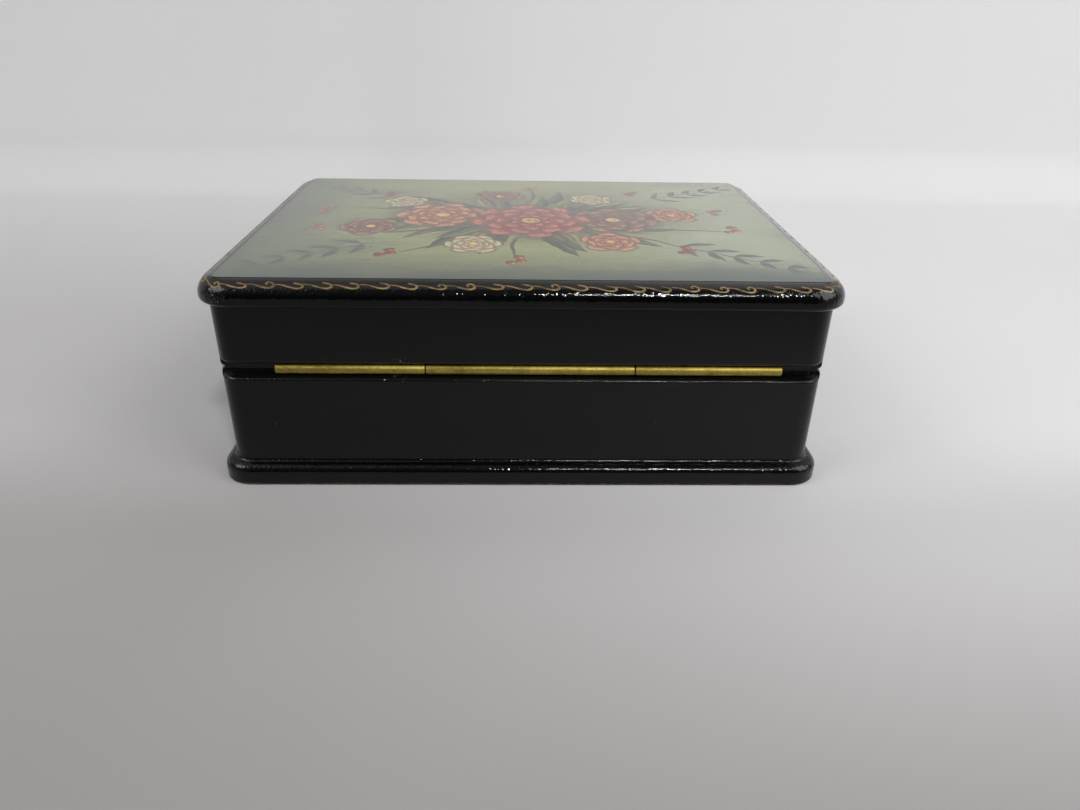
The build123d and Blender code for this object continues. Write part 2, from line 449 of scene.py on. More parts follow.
def makeLeafStroke():
    group, given, made = newGroup(
        "leafStroke",
        strokeInputs(("Length", "Float", 10.0), ("Width", "Float", 2.0), ("Bend", "Float", 0.0)),
        [("Color", "Color")],
    )
    out, across = strokePlace(given)
    share = calc("DIVIDE", out, given["Length"])
    share = calc("MINIMUM", calc("MAXIMUM", share, 0.0), 1.0)
    arch = times(share, calc("SUBTRACT", 1.0, share), 4.0)
    across = calc("SUBTRACT", across, times(given["Bend"], arch))
    belly = timesPlus(share, *leafSet["belly"])
    half = times(given["Width"], arch, belly)
    side = calc("DIVIDE", across, calc("MAXIMUM", half, 0.001))
    flank = calc("ABSOLUTE", side)
    hairs = calc("SINE", timesPlus(side, leafSet["hairs"], times(given["Grain"], leafSet["hairGrain"])))
    tone = timesPlus(hairs, leafSet["hairTone"], timesPlus(share, leafSet["tipTone"], side))
    colour = tint(span(tone, *leafSet["body"]), given["Dark"], given["Body"])
    colour = tint(span(tone, *leafSet["light"]), colour, given["Light"])
    vein = times(span(flank, *leafSet["veinWidth"]), span(share, *leafSet["veinLength"]), leafSet["vein"])
    colour = tint(vein, colour, given["Light"])
    feed(made["Color"], tint(span(flank, *leafSet["edge"]), given["Under"], colour))
    return group


# bloom: rings of petals, each laid over the one outside it
bloomSet = {
    "layers": [(1.00, 0.0), (0.78, 0.5), (0.56, 0.15), (0.34, 0.6)],    # reach and turn of each ring
    "ruffle": 0.22, "hairs": 37.0, "hairGrain": 16.0, "hairTone": 0.16,
    "scallop": 0.26,    # share of the reach that the petals' round ends take
    "petalTone": 0.35, "body": (0.50, 1.12), "rimDepth": (0.66, 0.98), "rimWidth": (0.4, 1.0),
    "rim": 0.9, "shadowEdge": (1.22, 1.0), "shadow": 0.6, "edge": (1.0, 0.95),
    "heart": (0.19, 0.12), "heartGrain": (0.3, 0.6, 0.3, 1.0), "turns": (0, 6),
}


def makeBloom():
    group, given, made = newGroup(
        "bloom",
        strokeInputs(("Size", "Float", 10.0), ("Petals", "Float", 5.0), ("Heart", "Color", (1, 1, 1))),
        [("Color", "Color")],
    )
    across, up = strokePlace(given)
    ruffle = calc("SUBTRACT", given["Grain"], 0.5)
    far = calc("DIVIDE", reach(across, up), given["Size"])
    far = timesPlus(ruffle, bloomSet["ruffle"], far)
    angle = calc("ARCTAN2", up, across)
    fan = timesPlus(angle, bloomSet["hairs"], times(ruffle, bloomSet["hairGrain"]))
    hairs = times(calc("SINE", fan), bloomSet["hairTone"])
    half = times(given["Petals"], 0.5)
    scallop = bloomSet["scallop"]
    colour = given["Under"]
    for size, turn in bloomSet["layers"]:
        wave = calc("COSINE", timesPlus(angle, half, turn * math.pi))
        petal = calc("ABSOLUTE", wave)
        rounded = calc("POWER", petal, 0.5)
        edge = timesPlus(rounded, scallop * size, (1 - scallop) * size)
        depth = calc("DIVIDE", far, edge)
        tone = calc("ADD", hairs, timesPlus(petal, bloomSet["petalTone"], depth))
        petals = tint(span(tone, *bloomSet["body"]), given["Dark"], given["Body"])
        rim = span(calc("ADD", petal, hairs), *bloomSet["rimWidth"])
        rim = times(span(depth, *bloomSet["rimDepth"]), rim, bloomSet["rim"])
        petals = tint(rim, petals, given["Light"])
        shadow = times(span(depth, *bloomSet["shadowEdge"]), bloomSet["shadow"])
        colour = tint(shadow, colour, given["Dark"])
        colour = tint(span(depth, *bloomSet["edge"]), colour, petals)
    heart = times(span(far, *bloomSet["heart"]), span(given["Grain"], *bloomSet["heartGrain"]))
    feed(made["Color"], tint(heart, colour, given["Heart"]))
    return group


# berry: lit from one side; three to each tip
berrySet = {
    "size": 1.7,
    "bunch": ((0, 0), (2.6, 1.6), (0.6, -2.9)),
    "lit": (-0.35, 0.4), "body": (1.35, 0.25), "light": (0.3, 0.12), "edge": (1.0, 0.86),
}


def makeBerry():
    group, given, made = newGroup("berry", strokeInputs(("Size", "Float", 2.0)), [("Color", "Color")])
    across, up = strokePlace(given)
    across, up = calc("DIVIDE", across, given["Size"]), calc("DIVIDE", up, given["Size"])
    far = reach(across, up)
    lit = reach(*(calc("SUBTRACT", part, offset) for part, offset in zip((across, up), berrySet["lit"])))
    colour = tint(span(lit, *berrySet["body"]), given["Dark"], given["Body"])
    colour = tint(span(lit, *berrySet["light"]), colour, given["Light"])
    feed(made["Color"], tint(span(far, *berrySet["edge"]), given["Under"], colour))
    return group


# ground of the painted field: pale and mottled, greener towards the edges, glazed in the middle
groundSet = {
    "sage": (0.108, 0.134, 0.080), "cream": (0.248, 0.262, 0.105), "bright": (0.35, 0.39, 0.27),
    "edge": (0.060, 0.078, 0.062), "glaze": (0.075, 0.072, 0.038), "length": 152.0, "depth": 110.0,
    "cloudScales": (0.022, 0.05, 0), "brushScales": (0.06, 0.8, 0), "brushed": 0.35,
    "middle": (62.0, 12.0, 0.0, 0.22), "tone": (0.44, 0.98), "brightEnd": (-8.0, -66.0, 0.0, 0.6),
    "endShare": -0.78,    # the edge is broader at one end, and along the hinge
    "sideShares": (1.12, -0.8), "edgeCloud": 0.7, "edgeWidth": (0.62, 1.15),
    "glazed": (0.42, 0.10, 0.0, 0.6),
}


def paintGround(place):
    x, y = axes(place)[:2]
    clouds = drawnOut(place, groundSet["cloudScales"], 4.0, 0.6)
    brushed = drawnOut(place, groundSet["brushScales"], 3.0, 0.6)
    middle = span(calc("ABSOLUTE", x), *groundSet["middle"])
    tone = calc("ADD", middle, timesPlus(brushed, groundSet["brushed"], clouds))
    colour = tint(span(tone, *groundSet["tone"]), groundSet["sage"], groundSet["cream"])
    colour = tint(span(x, *groundSet["brightEnd"]), colour, groundSet["bright"])
    farther = calc("MAXIMUM", x, times(x, groundSet["endShare"]))
    toEnd = calc("DIVIDE", farther, groundSet["length"] / 2)
    deeper = calc("MAXIMUM", *(times(y, share) for share in groundSet["sideShares"]))
    toSide = calc("DIVIDE", deeper, groundSet["depth"] / 2)
    edge = calc("MAXIMUM", toEnd, toSide)
    edge = timesPlus(calc("SUBTRACT", clouds, 0.5), groundSet["edgeCloud"], edge)
    colour = tint(span(edge, *groundSet["edgeWidth"]), colour, groundSet["edge"])
    spread = calc("ADD", calc("POWER", toEnd, 2.0), calc("POWER", toSide, 2.0))
    return tint(span(spread, *groundSet["glazed"]), colour, groundSet["glaze"])


# the painted spray: dark, body and light of each paint, then the brush and the varnish
paintSet = {
    "leaf": ((0.010, 0.016, 0.010), (0.040, 0.056, 0.026), (0.16, 0.19, 0.085)),
    "olive": ((0.028, 0.024, 0.010), (0.090, 0.078, 0.028), (0.30, 0.25, 0.10)),
    "mist": ((0.030, 0.040, 0.034), (0.055, 0.070, 0.058), (0.095, 0.115, 0.092)),
    "stem": ((0.020, 0.014, 0.008), (0.055, 0.036, 0.018), (0.13, 0.09, 0.045)),
    "red": ((0.050, 0.006, 0.005), (0.24, 0.028, 0.016), (0.45, 0.15, 0.085)),
    "orange": ((0.085, 0.019, 0.009), (0.29, 0.080, 0.028), (0.50, 0.27, 0.13)),
    "brown": ((0.024, 0.009, 0.006), (0.13, 0.042, 0.022), (0.34, 0.16, 0.080)),
    "pale": ((0.11, 0.075, 0.038), (0.32, 0.25, 0.13), (0.52, 0.46, 0.29)),
    "heart": (0.66, 0.42, 0.10), "seed": 11, "grainScale": 0.34, "waverScale": 0.16, "wobble": 0.9,
    "fibreScales": (0.5, 1.6, 0), "fibreShare": 0.35,
    "fibreTones": ((0.55, 0.55, 0.52), (1.5, 1.5, 1.45)),
    "crackScale": 0.13, "crackWidth": (0.012, 0.0), "crack": 0.22, "ripple": 0.025, "peel": 0.005,
    "gloss": 0.10, "haze": 0.10, "coat": 0.45, "coatRough": 0.08,
}
# a faint sprig, mirrored into the four corners; places and lengths in mm
sprigSet = {
    "steps": 5, "root": (44, 27), "stride": (6.0, 4.2), "slope": 0.62,
    "lean": 0.75, "leanLess": 0.08, "leanPlay": 0.15, "length": 10.0, "width": 1.3, "bend": 0.8,
    "stemRoot": (40, 24.5), "stem": {"Length": 36.0, "Width": 0.35, "Bend": 1.2},
}
# tendrils and foliage of the upper half, repeated in the lower half by a half turn
tendrilSet = {
    "count": 5, "offset": 0.55, "root": (26, 16), "length": 24, "reach": 14, "lengthPlay": 2,
    "flatten": 0.62, "turnPlay": 0.12, "past": 1.0, "width": 0.62, "bend": 3.2,
}
foliageSet = {
    "rings": ((8, 31, 17, 21, "leaf"), (7, 25, 13, 19, "olive"), (6, 20, 10, 18, "leaf")),
    "margin": 0.3, "offset": 0.25, "ringOffset": 0.2, "anglePlay": 0.08,
    "flatten": 0.8, "turnPlay": 0.22, "lengthPlay": (0.8, 1.15), "width": 0.15, "bend": 2.2,
}
# flowers: place across and up in mm, size, petals, colour
flowerSet = [
    ((-46, -6), 8.0, 5, "orange"), ((45, 10), 8.5, 5, "brown"), ((14, 27), 8.0, 6, "pale"),
    ((-24, 24), 8.5, 5, "orange"), ((8, -28), 8.0, 5, "brown"), ((38, -20), 7.0, 5, "pale"),
    ((-22, -25), 7.0, 6, "pale"), ((-27, 1), 13.5, 7, "brown"), ((25, -3), 14.0, 7, "orange"),
    ((-2, 3), 18.0, 8, "red"),
]


def onOval(root, angle):
    return root[0] * math.cos(angle), root[1] * math.sin(angle)


def outward(angle, flatten):
    return math.atan2(flatten * math.sin(angle), math.cos(angle))


def paintSpray(place, colour):
    hand = random.Random(paintSet["seed"])
    leafStroke, bloom, berry = makeLeafStroke(), makeBloom(), makeBerry()
    grain = cloud(place, paintSet["grainScale"], 3.0, 0.6)

    def play(most):
        return hand.uniform(-most, most)

    def lay(group, colour, place, root, turn, tones, more):
        tones = paintSet[tones]
        values = {"Across": place[0], "Up": place[1], "Grain": grain, "Under": colour, "Turn": turn}
        values.update({"Root Across": root[0], "Root Up": root[1]})
        values.update({"Dark": tones[0], "Body": tones[1], "Light": tones[2]}, **more)
        return useGroup(group, values)["Color"]

    # the strokes waver a little, as a brush does
    waver = cloud(place, paintSet["waverScale"], 2.0, 0.5, "Color")
    waver = vectorCalc("SUBTRACT", waver, (0.5, 0.5, 0.5))
    flat = vectorCalc("ADD", place, vectorCalc("SCALE", waver, paintSet["wobble"] * 2))
    single = axes(flat)[:2]
    corners = [calc("ABSOLUTE", part) for part in single]
    halves = times(single[0], calc("SIGN", single[1])), corners[1]

    heading = math.atan2(sprigSet["slope"], 1.0)
    for step in range(sprigSet["steps"]):
        root = [start + stride * step for start, stride in zip(sprigSet["root"], sprigSet["stride"])]
        for side in (-1, 1):
            lean = sprigSet["lean"] - sprigSet["leanLess"] * step
            turn = heading + side * lean + play(sprigSet["leanPlay"])
            length = sprigSet["length"] - step
            shape = {"Length": length, "Width": sprigSet["width"], "Bend": sprigSet["bend"] * side}
            colour = lay(leafStroke, colour, corners, root, turn, "mist", shape)
    colour = lay(leafStroke, colour, corners, sprigSet["stemRoot"], heading, "mist", sprigSet["stem"])

    tips = []
    for index in range(tendrilSet["count"]):
        angle = (index + tendrilSet["offset"]) / tendrilSet["count"] * math.pi
        root = onOval(tendrilSet["root"], angle)
        length = tendrilSet["length"] + tendrilSet["reach"] * abs(math.cos(angle))
        length += play(tendrilSet["lengthPlay"])
        turn = outward(angle, tendrilSet["flatten"]) + play(tendrilSet["turnPlay"])
        bend = tendrilSet["bend"] if index % 2 else -tendrilSet["bend"]
        shape = {"Length": length + tendrilSet["past"], "Width": tendrilSet["width"], "Bend": bend}
        colour = lay(leafStroke, colour, halves, root, turn, "stem", shape)
        tips.append((root[0] + length * math.cos(turn), root[1] + length * math.sin(turn)))

    margin = foliageSet["margin"]
    for ring, (count, across, up, size, tones) in enumerate(foliageSet["rings"]):
        start = foliageSet["offset"] + foliageSet["ringOffset"] * ring
        for index in range(count):
            angle = margin + (index + start) / count * (math.pi - 2 * margin) + play(foliageSet["anglePlay"])
            root = onOval((across, up), angle)
            turn = outward(angle, foliageSet["flatten"]) + play(foliageSet["turnPlay"])
            length = size * hand.uniform(*foliageSet["lengthPlay"])
            width = foliageSet["width"] * length
            shape = {"Length": length, "Width": width, "Bend": play(foliageSet["bend"])}
            colour = lay(leafStroke, colour, halves, root, turn, tones, shape)

    for root, size, petals, tones in flowerSet:
        shape = {"Size": size, "Petals": float(petals), "Heart": paintSet["heart"]}
        colour = lay(bloom, colour, single, root, hand.uniform(*bloomSet["turns"]), tones, shape)
    for index, tip in enumerate(tips):
        for offset in berrySet["bunch"]:
            root = (tip[0] + offset[0], tip[1] + offset[1])
            tones = "red" if index % 2 else "orange"
            colour = lay(berry, colour, halves, root, 0.0, tones, {"Size": berrySet["size"]})
    return colour


def makePaintedLacquer():
    finish, tree, shader = newFinish("paintedLacquer")
    place = objectPlace(tree)
    skin = useGroup(lacquerSkin, {"Place": place, "Ripple": paintSet["ripple"], "Peel": paintSet["peel"]})
    colour = paintSpray(place, paintGround(place))

    # brush grain and a hair of age in the varnish
    fibres = tint(drawnOut(place, paintSet["fibreScales"], 3.0, 0.65), *paintSet["fibreTones"])
    colour = tint(paintSet["fibreShare"], colour, fibres, "MULTIPLY")
    crack = cells(place, paintSet["crackScale"], "DISTANCE_TO_EDGE")["Distance"]
    crack = times(span(crack, *paintSet["crackWidth"]), paintSet["crack"])
    feed(shader["Base Color"], tint(crack, colour, groundSet["edge"]))
    feed(shader["Roughness"], timesPlus(skin["Haze"], paintSet["haze"], paintSet["gloss"]))
    shader["Coat Weight"].default_value = paintSet["coat"]
    shader["Coat Roughness"].default_value = paintSet["coatRough"]
    addRelief(shader, skin["Height"])
    return finish


finishes = {
    "black": makeBlackLacquer("blackLacquer", None),
    "blackLid": makeBlackLacquer("blackLidLacquer", blackSet["lidCoat"]),
    "red": makeRedLacquer(),
    "brass": makeBrass("brass", brassSet["tubes"]),
    # the pins' brass is darkened: painted shade in the gaps between the tubes, with some tarnish
    "shadedPinBrass": makeBrass("shadedPinBrass", brassSet["pins"]),
    "gold": makeGoldPaint(),
    "painted": makePaintedLacquer(),
}
print("finishes made:", ", ".join(finishes))


# mesh helpers: edit mode with just what a test picks
def takeUp(piece):
    bpy.ops.object.select_all(action="DESELECT")
    piece.select_set(True)
    bpy.context.view_layer.objects.active = piece


def leaveEdit():
    bpy.ops.object.mode_set(mode="OBJECT")


def pick(piece, kind, parts, test):
    takeUp(piece)
    bpy.ops.object.mode_set(mode="EDIT")
    bpy.ops.mesh.select_mode(type=kind)
    bpy.ops.mesh.select_all(action="DESELECT")
    leaveEdit()
    for part in getattr(piece.data, parts):
        part.select = test(part)
    bpy.ops.object.mode_set(mode="EDIT")


def pickFaces(piece, test):
    pick(piece, "FACE", "polygons", test)


def pickEdges(piece, test):    # the test sees both ends
    points = [point.co.copy() for point in piece.data.vertices]
    pick(piece, "EDGE", "edges", lambda edge: test(*(points[index] for index in edge.vertices)))


def pickPoints(piece, test):
    pick(piece, "VERT", "vertices", lambda point: test(point.co))


def pickAll(piece):
    pickPoints(piece, lambda point: False)
    bpy.ops.mesh.select_all(action="SELECT")


def turnOutwards():    # all faces, at the end of the editing
    bpy.ops.mesh.select_all(action="SELECT")
    bpy.ops.mesh.normals_make_consistent(inside=False)
    leaveEdit()


def near(value, target):
    return abs(value - target) < 0.02 * mm


def atLevel(level):    # edges that lie at one height
    return lambda a, b: near(a.z, level) and near(b.z, level)


def upright(a, b):
    return abs(a.z - b.z) > 0.1 * mm


def roundEdges(piece, radius, segments, test):
    pickEdges(piece, test)
    bpy.ops.mesh.bevel(offset=radius, segments=segments, affect="EDGES")
    leaveEdit()


def addShape(name, add, scale=(1, 1, 1), **values):
    bpy.ops.object.select_all(action="DESELECT")
    add(**values)
    piece = bpy.context.object
    piece.name = name
    piece.scale = scale
    bpy.ops.object.transform_apply(location=True, rotation=True, scale=True)
    return piece


def addBox(name, size, bottom):
    place = (0, 0, bottom + size[2] / 2)
    return addShape(name, bpy.ops.mesh.primitive_cube_add, size, size=1, location=place)


def applyTo(piece, kind, **values):
    takeUp(piece)
    change = piece.modifiers.new(kind.lower(), kind)
    for label, value in values.items():
        setattr(change, label, value)
    bpy.ops.object.modifier_apply(modifier=change.name)


def finishPiece(piece, finish, body, angle=35):
    takeUp(piece)
    bpy.ops.object.shade_smooth_by_angle(angle=math.radians(angle))
    piece.data.materials.clear()
    piece.data.materials.append(finishes[finish])
    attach(piece, body)
    return piece


# lid board: black lip and the sloped border round the painted field
lidBoardSet = {
    "lipThick": 5.0 * mm, "corner": 10.5 * mm, "cornerSteps": 16, "borderWidth": 5.0 * mm,
    "borderRise": 1.15 * mm,
    "lipRound": 3.5 * mm,    # where the rounding starts on both faces
    "lipSteps": 8, "underBevel": 0.9 * mm, "underSteps": 4, "fieldCorner": 2.0 * mm,
}


def squareCorners(board, level):    # the roundings of the board's top are drawn out into the corners
    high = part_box("lid_panel")[1]
    border, corner = lidBoardSet["borderWidth"], lidBoardSet["corner"]
    share = lidBoardSet["fieldCorner"] / (corner - border)
    reachX, reachY = high.x - border, high.y - border
    limit = corner - border + 0.05 * mm
    for sideX, sideY in ((1, 1), (-1, 1), (-1, -1), (1, -1)):
        def inCorner(point):
            fromTip = max(reachX - sideX * point.x, reachY - sideY * point.y)
            return near(point.z, level) and fromTip < limit

        pickPoints(board, inCorner)
        tip = (sideX * reachX, sideY * reachY, level)
        bpy.ops.transform.resize(value=(share, share, 1), center_override=tip)
        leaveEdit()


def makeLidBoard():
    low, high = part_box("lid_panel")
    foot = low.z + lidBoardSet["lipThick"]
    board = addBox("lidBoard", (high.x - low.x, high.y - low.y, lidBoardSet["lipThick"]), low.z)
    roundEdges(board, lidBoardSet["corner"], lidBoardSet["cornerSteps"], upright)
    pickFaces(board, lambda face: face.normal.z > 0.9)
    bpy.ops.mesh.inset(thickness=lidBoardSet["borderWidth"], depth=lidBoardSet["borderRise"])
    leaveEdit()
    roundEdges(board, lidBoardSet["lipRound"], lidBoardSet["lipSteps"], atLevel(foot))
    roundEdges(board, lidBoardSet["underBevel"], lidBoardSet["underSteps"], atLevel(low.z))
    squareCorners(board, foot + lidBoardSet["borderRise"])
    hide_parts("lid_panel")
    finishPiece(board, "blackLid", "lid")
    applyTo(board, "WEIGHTED_NORMAL", keep_sharp=True)    # broad faces stay flat beside the roundings
    return board


# painted field: a thin crowned sheet on the board
fieldSet = {
    "step": 0.05 * mm, "sunk": 0.1 * mm, "smoothing": 5,
    "lift": 2.25,    # smoothing keeps 4/9 of the lift
    "trimHeight": 8 * mm, "cornerSteps": 10,
}


def makePaintedField():
    low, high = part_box("lid_panel")
    border = lidBoardSet["borderWidth"]
    boardTop = low.z + lidBoardSet["lipThick"] + lidBoardSet["borderRise"]
    size = (high.x - low.x - 2 * border, high.y - low.y - 2 * border)
    level = boardTop + fieldSet["step"]
    field = addShape(
        "paintedField", bpy.ops.mesh.primitive_grid_add, (*size, 1),
        x_subdivisions=2, y_subdivisions=2, size=1, location=(0, 0, level),
    )
    crown = high.z - level
    pickPoints(field, lambda point: point.xy.length < 1 * mm)
    bpy.ops.transform.translate(value=(0, 0, crown * fieldSet["lift"]))
    leaveEdit()
    levels = fieldSet["smoothing"]
    applyTo(field, "SUBSURF", levels=levels, render_levels=levels, boundary_smooth="PRESERVE_CORNERS")
    pickAll(field)
    bpy.ops.mesh.extrude_region_move()
    bpy.ops.transform.resize(value=(1, 1, 0), center_override=(0, 0, boardTop - fieldSet["sunk"]))
    turnOutwards()
    trim = addBox("fieldTrim", (*size, fieldSet["trimHeight"]), boardTop - fieldSet["trimHeight"] / 2)
    roundEdges(trim, lidBoardSet["fieldCorner"], fieldSet["cornerSteps"], upright)
    applyTo(field, "BOOLEAN", operation="INTERSECT", object=trim)
    bpy.data.objects.remove(trim)
    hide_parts("lid_panel")
    return finishPiece(field, "painted", "lid")


# gold running scroll: brushed waves in a row that is led round the lid and laid on the lip
scrollSet = {
    "count": 80, "start": 0.05, "fromLip": 1.0 * mm, "pen": 0.25 * mm, "penSteps": 2,
    "curveSteps": 5, "routeSteps": 24, "relief": 0.14 * mm,
    "pitch": 6.6 * mm,    # of the waves as drawn
    "curled": 0.3,    # share of waves whose crest curls in
    "seed": 5, "alongPlay": 0.14, "acrossPlay": 0.10, "longPlay": (0.94, 1.04),
    "widePlay": (0.90, 1.06), "tiltPlay": 0.035,
}
# one wave: along and across the border in mm, and how hard the brush presses
waveStem = [
    (-0.30, 1.36, 0.50), (1.40, 1.16, 0.75), (3.30, 0.45, 0.95),
    (4.90, 0.02, 1.20), (5.95, 0.22, 1.30), (6.30, 0.82, 1.15),
]
waveCrests = {
    "hooked": [(5.80, 1.40, 1.00), (4.95, 1.66, 1.05), (4.10, 1.90, 0.75)],
    "curled": [(5.75, 1.62, 1.00), (4.95, 1.76, 0.95), (4.50, 1.30, 0.85), (5.00, 0.98, 0.70)],
}


def makeWave(points):
    bpy.ops.object.select_all(action="DESELECT")
    bpy.ops.curve.primitive_bezier_curve_add()
    wave = bpy.context.object
    line = wave.data.splines[0].bezier_points
    line.add(len(points) - len(line))
    for point, (along, across, press) in zip(line, points):
        point.co = (along * mm, across * mm, 0)
        point.handle_left_type = point.handle_right_type = "AUTO"
        point.radius = press
    wave.data.resolution_u = scrollSet["curveSteps"]
    wave.data.bevel_depth = scrollSet["pen"]
    wave.data.bevel_resolution = scrollSet["penSteps"]
    bpy.ops.object.convert(target="MESH")
    pickFaces(wave, lambda face: face.normal.z < 0)
    bpy.ops.mesh.delete(type="FACE")
    bpy.ops.mesh.select_all(action="SELECT")
    bpy.ops.transform.resize(value=(1, 1, 0), center_override=(0, 0, 0))
    leaveEdit()
    return wave


def makeRoute(half, corner):    # the lip's outline
    bpy.ops.object.select_all(action="DESELECT")
    bpy.ops.curve.primitive_bezier_circle_add()
    route = bpy.context.object
    route.data.dimensions = "2D"
    route.data.resolution_u = scrollSet["routeSteps"]
    line = route.data.splines[0]
    line.bezier_points.add(8 - len(line.bezier_points))
    pull = corner * 4 / 3 * math.tan(math.pi / 8)    # handles that make a quarter round
    for index, point in enumerate(line.bezier_points):
        turn = math.pi / 2 * (index // 2)
        out = Vector((math.cos(turn), math.sin(turn), 0))
        ahead = Vector((-math.sin(turn), math.cos(turn), 0))
        across, along = (half.x, half.y) if index // 2 % 2 == 0 else (half.y, half.x)
        leaves = index % 2 == 1
        point.handle_left_type = point.handle_right_type = "FREE"
        point.co = out * across + ahead * (along - corner) * (1 if leaves else -1)
        reaches = (pull if leaves else 1 * mm), (1 * mm if leaves else pull)
        point.handle_right = point.co + ahead * reaches[0]
        point.handle_left = point.co - ahead * reaches[1]
    return route


def makeScroll(board):
    low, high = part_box("lid_panel")
    hand = random.Random(scrollSet["seed"])

    def play(most):
        return hand.uniform(-most, most)

    slope = math.atan2(lidBoardSet["borderRise"], lidBoardSet["borderWidth"])
    corner = lidBoardSet["corner"]
    half = (high - low) / 2
    around = 4 * (half.x + half.y - 2 * corner) + math.tau * corner
    pitch = around / scrollSet["count"]
    waves = {crest: makeWave(waveStem + points) for crest, points in waveCrests.items()}
    turned = Matrix.Translation((around, 0, 0)) @ Matrix.Rotation(math.pi, 4, "Z")
    turned = Matrix.Rotation(-slope, 4, "X") @ turned
    copies = []
    for index in range(scrollSet["count"]):
        twin = waves["curled" if hand.random() < scrollSet["curled"] else "hooked"].copy()
        twin.data = twin.data.copy()
        bpy.context.scene.collection.objects.link(twin)
        along = (index + scrollSet["start"]) * pitch + play(scrollSet["alongPlay"]) * mm
        across = scrollSet["fromLip"] + play(scrollSet["acrossPlay"]) * mm
        longer = hand.uniform(*scrollSet["longPlay"]) * pitch / scrollSet["pitch"]
        shape = Matrix.Diagonal((longer, hand.uniform(*scrollSet["widePlay"]), 1, 1))
        tilt = Matrix.Rotation(play(scrollSet["tiltPlay"]), 4, "Z")
        twin.data.transform(turned @ Matrix.Translation((along, across, 0)) @ tilt @ shape)
        copies.append(twin)
    for wave in waves.values():
        bpy.data.objects.remove(wave)
    takeUp(copies[0])
    for twin in copies:
        twin.select_set(True)
    bpy.ops.object.join()
    scroll = bpy.context.object
    scroll.name = "goldScroll"
    route = makeRoute(half, corner)
    applyTo(scroll, "CURVE", object=route, deform_axis="POS_X")
    bpy.data.objects.remove(route)
    pickAll(scroll)
    bpy.ops.transform.translate(value=(0, 0, low.z + lidBoardSet["lipThick"]))
    leaveEdit()
    applyTo(scroll, "SHRINKWRAP", target=board, wrap_method="NEAREST_SURFACEPOINT")
    applyTo(scroll, "SOLIDIFY", thickness=scrollSet["relief"], offset=0)
    pickAll(scroll)
    turnOutwards()
    return finishPiece(scroll, "gold", "lid", 60)


# lacquer that has filled the corner between the wall and the foot board
footCoveSet = {"radius": 1.1 * mm, "wallCorner": 5.0 * mm, "cornerSteps": 14, "steps": 6, "keyed": 0.6 * mm}


def makeFootCove():
    low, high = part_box("base_wall")
    radius, steps = footCoveSet["radius"], footCoveSet["steps"]
    size = (high.x - low.x + 2 * radius, high.y - low.y + 2 * radius)
    corner = footCoveSet["wallCorner"] + radius
    place = (0, 0, low.z)
    cove = addShape("footCove", bpy.ops.mesh.primitive_plane_add, (*size, 1), size=1, location=place)
    pickAll(cove)
    bpy.ops.mesh.bevel(offset=corner, segments=footCoveSet["cornerSteps"], affect="VERTICES")
    bpy.ops.mesh.select_mode(type="FACE")
    bpy.ops.mesh.select_all(action="SELECT")
    for step in range(steps):    # hollow quarter round, in and up
        turns = [math.pi / 2 * part / steps for part in (step, step + 1)]
        inward = radius * (math.sin(turns[1]) - math.sin(turns[0]))
        upward = radius * (math.cos(turns[0]) - math.cos(turns[1]))
        bpy.ops.mesh.inset(thickness=inward, depth=upward)
    bpy.ops.mesh.inset(thickness=footCoveSet["keyed"], depth=0)
    bpy.ops.mesh.extrude_region_move(TRANSFORM_OT_translate={"value": (0, 0, -radius)})
    bpy.ops.mesh.delete(type="FACE")
    leaveEdit()
    pickEdges(cove, atLevel(low.z))
    bpy.ops.mesh.bridge_edge_loops()
    turnOutwards()
    return finishPiece(cove, "black", "base", 50)


# hinge tubes: lengths of drawn tube that fill their channel, with eased ends
tubeSet = {"radius": 1.3 * mm, "bore": 0.65 * mm, "easing": 0.12 * mm, "easingSteps": 2, "sides": 56}
tubeNodes = {
    "left_knuckle": ("leftTube", "base"),
    "centre_knuckle": ("centreTube", "lid"),
    "right_knuckle": ("rightTube", "base"),
}


def makeHingeTube(node, name, body):
    low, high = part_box(node)
    middle = (low + high) / 2
    radius, bore = tubeSet["radius"], tubeSet["bore"]
    wallMiddle = (radius + bore) / 2

    def fromAxis(point):
        return math.hypot(point.y - middle.y, point.z - middle.z)

    tube = addShape(
        name, bpy.ops.mesh.primitive_cylinder_add, vertices=tubeSet["sides"], radius=radius,
        depth=high.x - low.x, location=middle, rotation=(0, math.pi / 2, 0),
    )
    pickFaces(tube, lambda face: abs(face.normal.x) > 0.9)
    bpy.ops.mesh.inset(thickness=radius - bore, depth=0)
    bpy.ops.mesh.delete(type="FACE")
    leaveEdit()
    pickEdges(tube, lambda a, b: near(a.x, b.x) and max(fromAxis(a), fromAxis(b)) < wallMiddle)
    bpy.ops.mesh.bridge_edge_loops()
    leaveEdit()
    pickEdges(tube, lambda a, b: near(a.x, b.x) and min(fromAxis(a), fromAxis(b)) > wallMiddle)
    bpy.ops.mesh.bevel(offset=tubeSet["easing"], segments=tubeSet["easingSteps"], affect="EDGES")
    turnOutwards()
    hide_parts(node)
    return finishPiece(tube, "brass", body)


lidBoard = makeLidBoard()
makePaintedField()
makeScroll(lidBoard)
makeFootCove()
for node, (name, body) in tubeNodes.items():
    makeHingeTube(node, name, body)
print("pieces modelled: lid board, painted field, scroll, foot cove, hinge tubes")

# finishes of the pieces that stay as they were built
nodeFinishes = {
    "plinth_board": "black", "base_wall": "black", "lid_wall": "black", "lid_panel": "blackLid",
    # the pins take the darkened brass: painted shade in the hinge's gaps
    "rim_collar": "red", "hinge_pin": "shadedPinBrass", "base_leaf_pins": "shadedPinBrass", "lid_leaf_pins": "shadedPinBrass",
}
for name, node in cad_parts.items():
    node.data.materials.clear()
    node.data.materials.append(finishes[nodeFinishes.get(name, "brass")])
print("built pieces dressed")
